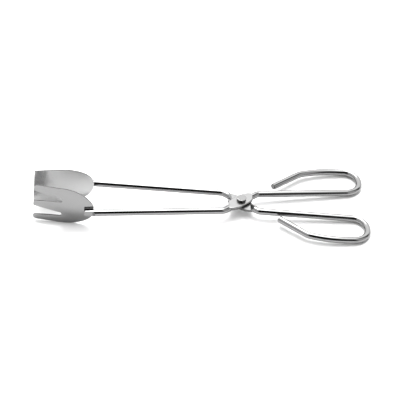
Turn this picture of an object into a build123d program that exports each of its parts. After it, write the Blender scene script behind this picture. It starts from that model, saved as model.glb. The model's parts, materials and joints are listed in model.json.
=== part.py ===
from build123d import *
import math
import os

# Scissor-action serving tongs. Two arms, each bent from one length of round wire, cross at a rivet.
# One arm carries a plain spade blade and the other a three-pronged fork blade.
#
# Everything is modelled in the pivot frame and laid down at the end. Pivot frame: origin on the
# rivet's axis, between the two eyes; +X towards the handles, +Y towards the spade blade and
# +Z towards the rivet's head. In the laid-down frame the tongs lie on the plane z = 0.

# Wire arms. The fork arm is described; the spade arm is the same arm turned over about X.
WIRE_D = 6.0
WIRE_END_X = -139.4             # the blade end of the wire
FRONT_ANGLE = 3.76              # how far the long front part splays from the X axis
CROSS_ANGLE = 36.8              # direction of the crossing part through the pivot
NECK_FRONT = 20.0               # from the pivot to the bend of each neck
NECK_BACK = 19.0
NECK_BEND_R = 6.0

# Handle bow, as the corners of the bent wire, for the arm whose handle lies at +Y
HANDLE_X = 110.5                # the far side of the bow
HANDLE_ANGLE = 3.9              # splay of the inner side
BOW_FAR_Y = 44.7                # outer side at the far end
BOW_MID = (76.0, 45.5)          # where the outer side bows out
BOW_NEAR = (56.5, 40.4)         # where the wire turns back to the pivot
BOW_RADII = (13.2, 13.2, 100.0, 15.0)
FORK_ARM_TIP = (30.2, 21.9)     # free end of the wire; the two arms differ slightly
SPADE_ARM_TIP = (32.6, 20.6)
TIP_CHAMFER = 0.6

# The blade end of the wire is pressed flat on its outer flank
END_FLAT = 0.9                  # from the wire's centre line to the flat
END_LENGTH = 7.4
END_RAMP = 2.0

# Eyes: the middle of each wire is pressed flat to half the stack
EYE_T = 2.8                     # thickness of one eye
EYE_GAP = 0.1                   # running gap between the two eyes
EYE_LENGTH = 30.4               # outline of the pressed metal, an ellipse along the crossing part
EYE_WIDTH = 13.4
EYE_SHIFT = -1.0                # the middle of the ellipse, along the crossing part
PRESS_FRONT = -10.2             # the press flattens the outer side of the wire between these places
PRESS_BACK = 9.0
PRESS_MATING = 8.2              # and the side towards the other arm as far as this from the pivot
RAMP = 3.2                      # beyond each of them the wire is fully round again after a ramp
EYE_CORNER_R = 1.6
EYE_EDGE_R = 0.7

# Rivet
SHANK_D = 5.0
BORE_CLEARANCE = 0.05           # radial, in the fork arm's eye, which turns on the shank
HEAD_D = 8.5
HEAD_H = 2.7
HEAD_EDGE_R = 0.35
TAIL_D = 8.0
TAIL_H = 1.6
TAIL_EDGE_R = 0.7
HEAD_GAP = 0.2                  # running gap under the head

# Blades, described for the one at +Y, before it is pitched
SHEET_T = 1.0
BLADE_TIP_X = -184.2
BLADE_BASE_X = -131.2
BLADE_HALF_H = 19.6
SHOULDER_X = -160.0             # the sides are parallel from the tip to here
SHOULDER_LENGTH = 29.2          # and then close as a half ellipse of this length
TIP_CORNER_R = 1.5
BLADE_PITCH = 2.0               # tip raised, turned about the weld
WELD_X = -135.0
SPADE_SHIFT = (-0.5, 0.0, 1.0)  # the spade blade is welded slightly off the fork blade's place
# Sections of the pressed sheet: place along X, distance from the mid-plane, radius of the cup
BLADE_SECTIONS = (
    (-128.0, 16.3, 46.0),
    (-146.0, 17.2, 51.0),
    (-160.0, 15.1, 74.0),
    (-175.0, 12.1, 108.0),
    (-190.0, 9.8, 140.0),
)

# Fork slots, measured on the flat pattern from the blade's centre line
SLOT_ROOT_X = -159.2
SLOT_ROOT = (6.0, 9.9)          # inner and outer edge at the root
SLOT_MOUTH = (2.85, 13.8)       # and at the tips of the prongs
SLOT_ROOT_R = 1.5
MIDDLE_PRONG_R = 1.2            # corners at the tip of the middle prong
OUTER_PRONG_R = 2.4             # inner corners of the two outer prongs
FORK_CORNER_R = 3.0             # and their outer corners

# The shapes that cut others reach this far past what they cut
SECTION_EXCESS = 2.0            # the sheet above and below the blade's outline
SLOT_EXCESS = 3.0               # the slots beyond the tips of the prongs
TRIM_REACH = 40.0               # the outline's prism, to each side of the mid-plane

WIRE_R = WIRE_D / 2
EYE_LOW = EYE_GAP / 2
EYE_HIGH = EYE_LOW + EYE_T


def on_crossing(distance):
    """A point on the line of the crossing part of the wire."""
    angle = math.radians(CROSS_ANGLE)
    return (distance * math.cos(angle), distance * math.sin(angle))


def arm_corners(tip):
    """Corners of the wire's centre line, from the blade end to the free end of the handle."""
    neck_front = on_crossing(-NECK_FRONT)
    neck_back = on_crossing(NECK_BACK)
    front_rise = (neck_front[0] - WIRE_END_X) * math.tan(math.radians(FRONT_ANGLE))
    back_rise = (HANDLE_X - neck_back[0]) * math.tan(math.radians(HANDLE_ANGLE))
    return [
        (WIRE_END_X, neck_front[1] - front_rise),
        neck_front,
        neck_back,
        (HANDLE_X, neck_back[1] + back_rise),
        (HANDLE_X, BOW_FAR_Y),
        BOW_MID,
        BOW_NEAR,
        tip,
    ]


def bent_wire(tip):
    """Round wire along the arm, still round through the pivot."""
    radii = [NECK_BEND_R, NECK_BEND_R, *BOW_RADII]
    path = FilletPolyline(*arm_corners(tip), radius=radii)
    start = Plane(origin=path @ 0, z_dir=path % 0)
    wire = sweep(start * Circle(WIRE_R), path=path)
    ends = wire.faces().filter_by(GeomType.PLANE).edges()
    return chamfer(ends, TIP_CHAMFER)


def pressed_away(surface, eye_z, front, back):
    """What the press takes from one side of the round wire: flat at eye_z, with a ramp at each end."""
    outline = Polyline(
        (front - RAMP, surface), (front, eye_z), (back, eye_z), (back + RAMP, surface),
        (back + RAMP, 2 * surface), (front - RAMP, 2 * surface), close=True,
    )
    return extrude(Plane.XZ * make_face(outline), EYE_LENGTH, both=True)


def end_pressed_away(wire_end):
    """What the press takes from the outer flank of the wire at its blade end."""
    outline = Polyline(
        (-WIRE_D, -END_FLAT), (END_LENGTH, -END_FLAT), (END_LENGTH + END_RAMP, -WIRE_R),
        (END_LENGTH + END_RAMP, -WIRE_D), (-WIRE_D, -WIRE_D), close=True,
    )
    flat = extrude(make_face(outline), WIRE_D, both=True)
    return Pos(*wire_end) * Rot(0, 0, FRONT_ANGLE) * flat


def eye():
    """The metal that the press spreads sideways: an ellipse, cut off square by the edges of the press."""
    ellipse = Ellipse(EYE_LENGTH / 2, EYE_WIDTH / 2)
    ellipse = Pos(*on_crossing(EYE_SHIFT)) * Rot(0, 0, CROSS_ANGLE) * ellipse
    pressed = Rectangle(PRESS_BACK - PRESS_FRONT + RAMP, 2 * EYE_WIDTH)
    outline = ellipse & (Pos((PRESS_FRONT + PRESS_BACK) / 2, 0) * pressed)
    outline = fillet(outline.vertices(), EYE_CORNER_R)
    slab = extrude(Pos(0, 0, EYE_LOW) * outline, EYE_T)
    return fillet(slab.faces().sort_by(Axis.Z)[-1].edges(), EYE_EDGE_R)


def arm(tip, bore_r):
    """The fork arm: bent wire with its pressed eye on the head side, bored for the rivet."""
    wire = bent_wire(tip) - end_pressed_away(arm_corners(tip)[0])
    wire -= pressed_away(-WIRE_R, EYE_LOW, -PRESS_MATING, PRESS_MATING)
    wire -= pressed_away(WIRE_R, EYE_HIGH, PRESS_FRONT, PRESS_BACK)
    return (wire + eye()) - Cylinder(bore_r, 4 * WIRE_D)


def rivet():
    """Button-headed rivet: head over the fork arm's eye, tail closed on the spade arm's eye."""
    head_base = EYE_HIGH + HEAD_GAP
    head = Pos(0, 0, head_base + HEAD_H / 2) * Cylinder(HEAD_D / 2, HEAD_H)
    head = fillet(head.faces().sort_by(Axis.Z)[-1].edges(), HEAD_EDGE_R)
    tail = Pos(0, 0, -EYE_HIGH - TAIL_H / 2) * Cylinder(TAIL_D / 2, TAIL_H)
    tail = fillet(tail.faces().sort_by(Axis.Z)[0].edges(), TAIL_EDGE_R)
    length = head_base + EYE_HIGH
    shank = Pos(0, 0, (head_base - EYE_HIGH) / 2) * Cylinder(SHANK_D / 2, length)
    return head + shank + tail


def cup_section(x, y, radius):
    """Cross-section of the sheet: a strip between two arcs, bulging away from the mid-plane."""
    half = BLADE_HALF_H + SECTION_EXCESS
    inner_radius = radius - SHEET_T

    def arc_point(r, side):
        angle = side * math.asin(half / radius)
        return (y - radius + r * math.cos(angle), r * math.sin(angle))

    outer = ThreePointArc(arc_point(radius, -1), arc_point(radius, 0), arc_point(radius, 1))
    inner = ThreePointArc(arc_point(inner_radius, 1), arc_point(inner_radius, 0), arc_point(inner_radius, -1))
    strip = make_face([outer, Line(outer @ 1, inner @ 0), inner, Line(inner @ 1, outer @ 0)])
    plane = Plane(origin=(x, 0, 0), x_dir=(0, 1, 0), z_dir=(1, 0, 0))
    return plane * strip


def cupped_sheet():
    """The pressed sheet before it is trimmed to the blade's outline."""
    return loft([cup_section(*section) for section in BLADE_SECTIONS])


def blade_outline(corner_r):
    """Flat pattern of the plain blade, in x and z."""
    length = SHOULDER_X - BLADE_TIP_X
    body = Pos((SHOULDER_X + BLADE_TIP_X) / 2, 0) * Rectangle(length, 2 * BLADE_HALF_H)
    shoulder = Pos(SHOULDER_X, 0) * Ellipse(SHOULDER_LENGTH, BLADE_HALF_H)
    width = BLADE_BASE_X - SHOULDER_X
    keep = Pos(SHOULDER_X + width / 2, 0) * Rectangle(width, 2 * BLADE_HALF_H)
    outline = body + (shoulder & keep)
    tip_corners = outline.vertices().group_by(Axis.X)[0]
    return fillet(tip_corners, corner_r)


def fork_slot(side):
    """One tapered slot between two prongs; side is 1 above the centre line and -1 below."""
    taper = SLOT_EXCESS / (SLOT_ROOT_X - BLADE_TIP_X)
    inner_end = SLOT_MOUTH[0] + (SLOT_MOUTH[0] - SLOT_ROOT[0]) * taper
    outer_end = SLOT_MOUTH[1] + (SLOT_MOUTH[1] - SLOT_ROOT[1]) * taper
    end_x = BLADE_TIP_X - SLOT_EXCESS
    corners = Polyline(
        (SLOT_ROOT_X, side * SLOT_ROOT[0]), (SLOT_ROOT_X, side * SLOT_ROOT[1]),
        (end_x, side * outer_end), (end_x, side * inner_end), close=True,
    )
    slot = make_face(corners)
    return fillet(slot.vertices().group_by(Axis.X)[-1], SLOT_ROOT_R)


def fork_outline():
    """Flat pattern of the fork blade: the plain blade with two slots and rounded prongs."""
    outline = blade_outline(FORK_CORNER_R) - fork_slot(1) - fork_slot(-1)
    middle = outline.vertices().group_by(Axis.X)[0].filter_by(lambda v: abs(v.Y) < SLOT_ROOT[0])
    outline = fillet(middle, MIDDLE_PRONG_R)
    tip_line = outline.vertices().group_by(Axis.X)[0].filter_by(lambda v: abs(v.Y) > SLOT_ROOT[1])
    inner_corners = tip_line.sort_by(lambda v: abs(v.Y))[:2]
    return fillet(inner_corners, OUTER_PRONG_R)


def blade(outline):
    """A blade at +Y: the cupped sheet trimmed to an outline and pitched about its weld."""
    prism = extrude(Plane.XZ * outline, TRIM_REACH, both=True)
    trimmed = cupped_sheet() & prism
    return Pos(WELD_X, 0, 0) * Rot(0, BLADE_PITCH, 0) * Pos(-WELD_X, 0, 0) * trimmed


def lowest(part, tilt):
    return (Rot(0, tilt, 0) * part).bounding_box().min.Z


def resting_tilt(front, back):
    """The angle at which the blades' edges and the handle bows are equally low."""
    low, high = 0.0, 10.0
    for _ in range(14):
        middle = (low + high) / 2
        if lowest(front, middle) < lowest(back, middle):
            low = middle
        else:
            high = middle
    return (low + high) / 2


def main():
    spade_blade = Pos(*SPADE_SHIFT) * blade(blade_outline(TIP_CORNER_R))
    fork_blade = mirror(blade(fork_outline()), about=Plane.XZ)
    # the blades are welded into the flanks of the wires
    fork_arm = arm(FORK_ARM_TIP, SHANK_D / 2 + BORE_CLEARANCE) - fork_blade
    spade_arm = Rot(180, 0, 0) * arm(SPADE_ARM_TIP, SHANK_D / 2) - spade_blade
    parts = {
        "spade_arm": spade_arm,
        "fork_arm": fork_arm,
        "spade_blade": spade_blade,
        "fork_blade": fork_blade,
        "pivot_rivet": rivet(),
    }

    tilt = resting_tilt(fork_blade, fork_arm)
    turned = {name: Rot(0, tilt, 0) * part for name, part in parts.items()}
    boxes = [part.bounding_box() for part in turned.values()]
    low = [min(getattr(box.min, axis) for box in boxes) for axis in "XYZ"]
    high = [max(getattr(box.max, axis) for box in boxes) for axis in "XYZ"]
    lay_down = Pos(-(low[0] + high[0]) / 2, -(low[1] + high[1]) / 2, -low[2])
    print("tilt", round(tilt, 4), "size", [round(h - l, 3) for h, l in zip(high, low)])
    print("pivot", lay_down.position)

    os.makedirs("parts", exist_ok=True)
    for name, part in turned.items():
        export_step(lay_down * part, f"parts/{name}.step")


main()
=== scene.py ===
import json
import math

import bpy
from mathutils import Matrix, Vector

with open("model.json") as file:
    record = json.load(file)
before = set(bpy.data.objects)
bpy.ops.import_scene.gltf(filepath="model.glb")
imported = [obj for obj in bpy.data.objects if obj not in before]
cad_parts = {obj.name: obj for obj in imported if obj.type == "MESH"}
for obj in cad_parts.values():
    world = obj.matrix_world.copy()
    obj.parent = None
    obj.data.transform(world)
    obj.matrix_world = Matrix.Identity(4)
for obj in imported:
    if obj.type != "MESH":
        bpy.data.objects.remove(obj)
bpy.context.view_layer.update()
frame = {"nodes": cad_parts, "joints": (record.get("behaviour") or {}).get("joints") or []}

# Camera, set round the point that the lens is centred on
CAMERA_AZIMUTH = math.radians(-3.1)
CAMERA_ELEVATION = math.radians(42.3)
CAMERA_ROLL = math.radians(1.29)
CAMERA_DISTANCE = 1.1813
CAMERA_AIM = Vector((-0.00034, 0.00277, 0.01033))
CAMERA_LENS = 118.8             # mm
CAMERA_SENSOR = 36.0            # mm

FLOOR_SIZE = 6.0
FLOOR_COLOR = (0.93, 0.93, 0.93, 1)
FLOOR_ROUGHNESS = 0.9

# The surroundings: light strengths, and the directions between which one passes into the next.
# A direction is a unit vector, +X right, +Y back and +Z up.
CEILING_REACH = 0.14            # how far the ceiling comes forward of straight up, as a slope
CEILING_EDGE = 0.05
TOP_LIGHT = 4.2
TOP_HEIGHTS = (0.55, 0.92)
BACK_LIGHT = 2.4
HORIZON_LIGHT = 0.5
HORIZON_HEIGHTS = (0.03, 0.30)
RIGHT_SHADE = 0.9               # how much of the ceiling is shaded to the right, and to the left
LEFT_SHADE = 0.45
SHADE_SIDES = (0.20, 0.45)
SHADE_DEPTHS = (0.2, 0.5)       # the shades end between these, towards the back
FRONT_SIDES = 1.25
ROOM_DARK = 0.02
FRONT_WIDTHS = (0.42, 0.62)     # between the dark middle and the sides
FRONT_STRIP = 1.3
STRIP_HEIGHTS = (0.10, 0.30)
KEY_LIGHT = 15.0
KEY_DIRECTION = (0.0, 0.46, 0.888)
KEY_EDGE = 0.978                # cosine of its radius
KEY_SOFTNESS = 0.011
TINY = 0.001                    # keeps a division away from zero

# All steel: its roughness varies by this share with the grain and with a soft cloud pattern
ROUGHNESS_VARIES = (0.8, 1.2)
NOISE_SPREAD = (0.3, 0.7)
GRAIN_DETAIL = 3.0
CLOUD_SCALE = 90.0
CLOUD_DETAIL = 2.0

# Pressed sheet. Each grain is a noise frequency per metre along X, Y and Z, and a depth in metres.
# The two faces of one steel sheet differ only as painted light and shade: the inner face painted
# lighter, the outer face painted darker
OUTER_FACE_PAINTED_SHADE = (0.225, 0.225, 0.225, 1)
INNER_FACE_PAINTED_LIGHT = (0.42, 0.42, 0.42, 1)
# sheet edges darker than the faces: the sheared edge, with painted dark reflection along it
SHEARED_EDGE_AND_DARK_REFLECTION = (0.10, 0.10, 0.10, 1)
SHEET_ROUGHNESS = 0.14
SHEET_GRAIN = (120, 2500, 2500)
SHEET_GRAIN_DEPTH = 0.000002
FACE_BLEND = 0.2                # the colours of the two faces blend within this of facing straight along
EDGE_FACING = (0.45, 0.75)      # what faces sideways less than this is a sheared edge

# Plated wire, with the sawn ends of the two handles as a point and a direction
PLATING = (0.215, 0.215, 0.215, 1)
SAWN_END = (0.10, 0.10, 0.10, 1)
WIRE_ROUGHNESS = 0.03
WIRE_GRAIN = (150, 1500, 1500)
WIRE_GRAIN_DEPTH = 0.000003
FORK_ARM_CUT = ((0.06644, 0.0219, 0.0077), (-0.8165, -0.5753, 0.0479))
SPADE_ARM_CUT = ((0.06883, -0.0206, 0.00756), (-0.7687, 0.638, 0.0451))
CUT_RADIUS = 0.0035
CUT_DEPTH = 0.0003

# What the press has left at the pivot, flats with their ramps, and the edges there, which are painted
# dark as the shade of the gap between the plates; all found by the way that they face
PIVOT = frame["joints"][0]["pos_m"]
PIVOT_AXIS = frame["joints"][0]["axis"]
PRESSED_RADIUS = 0.0165
RAMP_LEAN = 0.69                # sine of the angle between a ramp's normal and the axis
PRESSED_FLAT = (0.19, 0.19, 0.19, 1)
# the edges at the pivot: painted shade of the gap between the plates and painted dark reflection
PIVOT_EDGE_PAINTED_SHADE = (0.10, 0.10, 0.10, 1)
PRESSED_ROUGHNESS = 0.28
LEVEL_FACING = 0.995            # cosine of the lean at which a face still counts as a flat
FACING_TOLERANCE = 0.03

RIVET_STEEL = (0.225, 0.225, 0.225, 1)
RIVET_ROUGHNESS = 0.08
RIVET_GRAIN = (900, 900, 900)
RIVET_GRAIN_DEPTH = 0.000002


def make_camera():
    data = bpy.data.cameras.new("camera")
    data.sensor_width = CAMERA_SENSOR
    data.lens = CAMERA_LENS
    camera = bpy.data.objects.new("camera", data)
    bpy.context.collection.objects.link(camera)
    back = Vector((
        math.sin(CAMERA_AZIMUTH) * math.cos(CAMERA_ELEVATION),
        -math.cos(CAMERA_AZIMUTH) * math.cos(CAMERA_ELEVATION),
        math.sin(CAMERA_ELEVATION),
    ))
    turn = (-back).to_track_quat("-Z", "Y").to_matrix() @ Matrix.Rotation(CAMERA_ROLL, 3, "Z")
    camera.matrix_world = Matrix.Translation(CAMERA_AIM + back * CAMERA_DISTANCE) @ turn.to_4x4()
    bpy.context.scene.camera = camera


class Nodes:
    """A small helper that builds a node tree by name."""

    def __init__(self, tree):
        self.tree = tree
        tree.nodes.clear()

    def add(self, kind, inputs=None, **settings):
        node = self.tree.nodes.new(kind)
        for name, value in settings.items():
            setattr(node, name, value)
        for name, value in (inputs or {}).items():
            if isinstance(value, bpy.types.NodeSocket):
                self.tree.links.new(value, node.inputs[name])
            else:
                node.inputs[name].default_value = value
        return node

    def math(self, operation, a, b=0.0):
        return self.add("ShaderNodeMath", {0: a, 1: b}, operation=operation).outputs[0]

    def vector(self, operation, a, b=(0.0, 0.0, 0.0), output="Value"):
        return self.add("ShaderNodeVectorMath", {0: a, 1: b}, operation=operation).outputs[output]

    def smooth(self, value, low, high, to_low=0.0, to_high=1.0):
        inputs = {"Value": value, "From Min": low, "From Max": high, "To Min": to_low, "To Max": to_high}
        node = self.add("ShaderNodeMapRange", inputs, interpolation_type="SMOOTHSTEP")
        return node.outputs["Result"]

    def blend(self, factor, first, second):
        node = self.tree.nodes.new("ShaderNodeMix")
        node.data_type = "RGBA"
        colors = [socket for socket in node.inputs if socket.type == "RGBA"]
        self.tree.links.new(factor, node.inputs[0])
        for value, socket in zip((first, second), colors):
            if isinstance(value, bpy.types.NodeSocket):
                self.tree.links.new(value, socket)
            else:
                socket.default_value = value
        return next(socket for socket in node.outputs if socket.type == "RGBA")


def make_world():
    """Studio surroundings: a soft light above and behind, pale sides and a dark room in front."""
    world = bpy.data.worlds.new("studio")
    bpy.context.scene.world = world
    world.use_nodes = True
    n = Nodes(world.node_tree)
    direction = n.add("ShaderNodeTexCoord").outputs["Generated"]
    split = n.add("ShaderNodeSeparateXYZ", {"Vector": direction}).outputs
    x, y, z = split["X"], split["Y"], split["Z"]

    # a light back wall under a ceiling that comes a little forward and is brightest overhead
    behind_edge = n.math("ADD", y, n.math("MULTIPLY", z, CEILING_REACH))
    ceiling = n.smooth(behind_edge, -CEILING_EDGE, CEILING_EDGE)
    wall = n.smooth(z, *HORIZON_HEIGHTS, HORIZON_LIGHT, BACK_LIGHT)
    height = n.math("ADD", wall, n.smooth(z, *TOP_HEIGHTS, 0.0, TOP_LIGHT - BACK_LIGHT))
    # overhead it is shaded on both sides, and only towards the back does it fill the width
    near, far = SHADE_SIDES
    right = n.smooth(x, near, far, 0.0, RIGHT_SHADE)
    left = n.smooth(x, -far, -near, LEFT_SHADE, 0.0)
    shade = n.math("MULTIPLY", n.math("ADD", right, left), n.smooth(y, *SHADE_DEPTHS, 1.0, 0.0))
    width = n.math("SUBTRACT", 1.0, shade)
    behind = n.math("MULTIPLY", n.math("MULTIPLY", ceiling, height), width)

    # in front, a dark middle between two pale sides, over a pale strip along the horizon
    level = n.math("SQRT", n.math("SUBTRACT", 1.0, n.math("MULTIPLY", z, z)))
    aside = n.math("DIVIDE", n.math("ABSOLUTE", x), n.math("ADD", level, TINY))
    middle = n.smooth(aside, *FRONT_WIDTHS, ROOM_DARK, FRONT_SIDES)
    strip = n.smooth(z, *STRIP_HEIGHTS, FRONT_STRIP, 0.0)
    front = n.math("MULTIPLY", n.math("MAXIMUM", middle, strip), n.math("SUBTRACT", 1.0, ceiling))

    # the key light, above and a little behind
    towards_key = n.vector("DOT_PRODUCT", direction, KEY_DIRECTION)
    key = n.smooth(towards_key, KEY_EDGE - KEY_SOFTNESS, KEY_EDGE + KEY_SOFTNESS, 0.0, KEY_LIGHT)

    strength = n.math("ADD", n.math("ADD", behind, front), key)
    background = n.add("ShaderNodeBackground", {"Color": (1, 1, 1, 1), "Strength": strength})
    n.add("ShaderNodeOutputWorld", {"Surface": background.outputs[0]})


def make_floor():
    size = FLOOR_SIZE / 2
    mesh = bpy.data.meshes.new("floor")
    corners = [(-size, -size, 0), (size, -size, 0), (size, size, 0), (-size, size, 0)]
    mesh.from_pydata(corners, [], [(0, 1, 2, 3)])
    floor = bpy.data.objects.new("floor", mesh)
    bpy.context.collection.objects.link(floor)
    material = bpy.data.materials.new("floor_white")
    material.use_nodes = True
    n = Nodes(material.node_tree)
    shader = n.add("ShaderNodeBsdfPrincipled", {"Base Color": FLOOR_COLOR, "Roughness": FLOOR_ROUGHNESS})
    n.add("ShaderNodeOutputMaterial", {"Surface": shader.outputs[0]})
    mesh.materials.append(material)


def steel(name, color, roughness, grain_scale, grain_depth):
    """Steel with a grain drawn out along the tongs. Returns the material, its nodes and its shader."""
    material = bpy.data.materials.new(name)
    material.use_nodes = True
    n = Nodes(material.node_tree)
    place = n.add("ShaderNodeTexCoord").outputs["Object"]
    mapped = n.add("ShaderNodeMapping", {"Vector": place, "Scale": grain_scale}).outputs["Vector"]
    noise = "ShaderNodeTexNoise"
    grain = n.add(noise, {"Vector": mapped, "Scale": 1.0, "Detail": GRAIN_DETAIL}).outputs["Fac"]
    cloud = n.add(noise, {"Vector": place, "Scale": CLOUD_SCALE, "Detail": CLOUD_DETAIL}).outputs["Fac"]
    rough = n.math("MULTIPLY", *(n.smooth(f, *NOISE_SPREAD, *ROUGHNESS_VARIES) for f in (grain, cloud)))
    bump = n.add("ShaderNodeBump", {"Height": grain, "Distance": grain_depth, "Strength": 1.0})
    shader = n.add("ShaderNodeBsdfPrincipled", {
        "Base Color": color, "Metallic": 1.0, "Roughness": n.math("MULTIPLY", rough, roughness),
        "Normal": bump.outputs["Normal"],
    })
    n.add("ShaderNodeOutputMaterial", {"Surface": shader.outputs[0]})
    return material, n, shader


def cut_mask(n, cuts):
    """One on the sawn end of a wire, given as the middle of the cut and the way that it faces."""
    place = n.add("ShaderNodeTexCoord").outputs["Object"]
    total = 0.0
    for middle, facing in cuts:
        offset = n.vector("SUBTRACT", place, middle, "Vector")
        ahead = n.vector("DOT_PRODUCT", offset, facing)
        near = n.math("LESS_THAN", n.vector("LENGTH", offset), CUT_RADIUS)
        total = n.math("MAXIMUM", total, n.math("MULTIPLY", near, n.smooth(ahead, -CUT_DEPTH, 0.0)))
    return total


def pressed_flats_and_shaded_edges(n):
    """Two masks at the pivot: the pressed flats with their ramps, and the edges that take painted shade.
    """
    coords = n.add("ShaderNodeTexCoord").outputs
    near = n.math("LESS_THAN", n.vector("DISTANCE", coords["Object"], PIVOT), PRESSED_RADIUS)
    upright = n.math("ABSOLUTE", n.vector("DOT_PRODUCT", coords["Normal"], PIVOT_AXIS))
    across = n.add("ShaderNodeSeparateXYZ", {"Vector": coords["Normal"]}).outputs["Y"]
    leaning_squared = n.math("SUBTRACT", 1.0, n.math("MULTIPLY", upright, upright))
    leaning = n.math("SQRT", n.math("MAXIMUM", 0.0, leaning_squared))
    lean = n.math("ABSOLUTE", n.math("SUBTRACT", leaning, RAMP_LEAN))
    square = n.math("LESS_THAN", n.math("ABSOLUTE", across), FACING_TOLERANCE)
    ramp = n.math("MULTIPLY", n.math("LESS_THAN", lean, FACING_TOLERANCE), square)
    flat = n.math("MAXIMUM", n.math("GREATER_THAN", upright, LEVEL_FACING), ramp)
    # the edges at the pivot, where the painted shade goes
    edge = n.math("LESS_THAN", upright, FACING_TOLERANCE)
    return n.math("MULTIPLY", near, flat), n.math("MULTIPLY", near, edge)


def wire(name, cuts):
    """Bright plated wire, duller where it was pressed, with dark sawn ends and painted shade on its
    edges at the pivot.
    """
    material, n, shader = steel(name, PLATING, WIRE_ROUGHNESS, WIRE_GRAIN, WIRE_GRAIN_DEPTH)
    flat, edge = pressed_flats_and_shaded_edges(n)
    color = n.blend(cut_mask(n, cuts), PLATING, SAWN_END)
    color = n.blend(flat, color, PRESSED_FLAT)
    # painted shade on the edges at the pivot
    color = n.blend(edge, color, PIVOT_EDGE_PAINTED_SHADE)
    roughness = shader.inputs["Roughness"].links[0].from_socket
    duller = n.math("MAXIMUM", roughness, n.math("MULTIPLY", flat, PRESSED_ROUGHNESS))
    n.tree.links.new(duller, shader.inputs["Roughness"])
    n.tree.links.new(color, shader.inputs["Base Color"])
    return material


def sheet(name, inner_side):
    """Satin sheet: one steel with its inner face painted lighter and its outer face painted darker, as
    painted light and shade, and dark sheared edges with painted dark reflection.
    """
    material, n, shader = steel(name, OUTER_FACE_PAINTED_SHADE, SHEET_ROUGHNESS, SHEET_GRAIN, SHEET_GRAIN_DEPTH)
    normal = n.add("ShaderNodeTexCoord").outputs["Normal"]
    across = n.add("ShaderNodeSeparateXYZ", {"Vector": normal}).outputs["Y"]
    inner = n.smooth(n.math("MULTIPLY", across, inner_side), -FACE_BLEND, FACE_BLEND)
    # the sheared edges, darkened partly as painted dark reflection
    edge = n.smooth(n.math("ABSOLUTE", across), *EDGE_FACING, 1.0, 0.0)
    # painted light on the inner face, painted shade on the outer face
    face = n.blend(inner, OUTER_FACE_PAINTED_SHADE, INNER_FACE_PAINTED_LIGHT)
    n.tree.links.new(n.blend(edge, face, SHEARED_EDGE_AND_DARK_REFLECTION), shader.inputs["Base Color"])
    return material


def rivet_steel():
    return steel("rivet_steel", RIVET_STEEL, RIVET_ROUGHNESS, RIVET_GRAIN, RIVET_GRAIN_DEPTH)[0]


def dress(node, material):
    """Gives a CAD node its material."""
    for slot in frame["nodes"][node].material_slots:
        slot.material = material


make_camera()
make_world()
make_floor()
bpy.context.scene.view_settings.view_transform = "Standard"

dress("spade_arm", wire("spade_arm_wire", [SPADE_ARM_CUT]))
dress("fork_arm", wire("fork_arm_wire", [FORK_ARM_CUT]))
dress("spade_blade", sheet("spade_sheet", -1.0))
dress("fork_blade", sheet("fork_sheet", 1.0))
dress("pivot_rivet", rivet_steel())
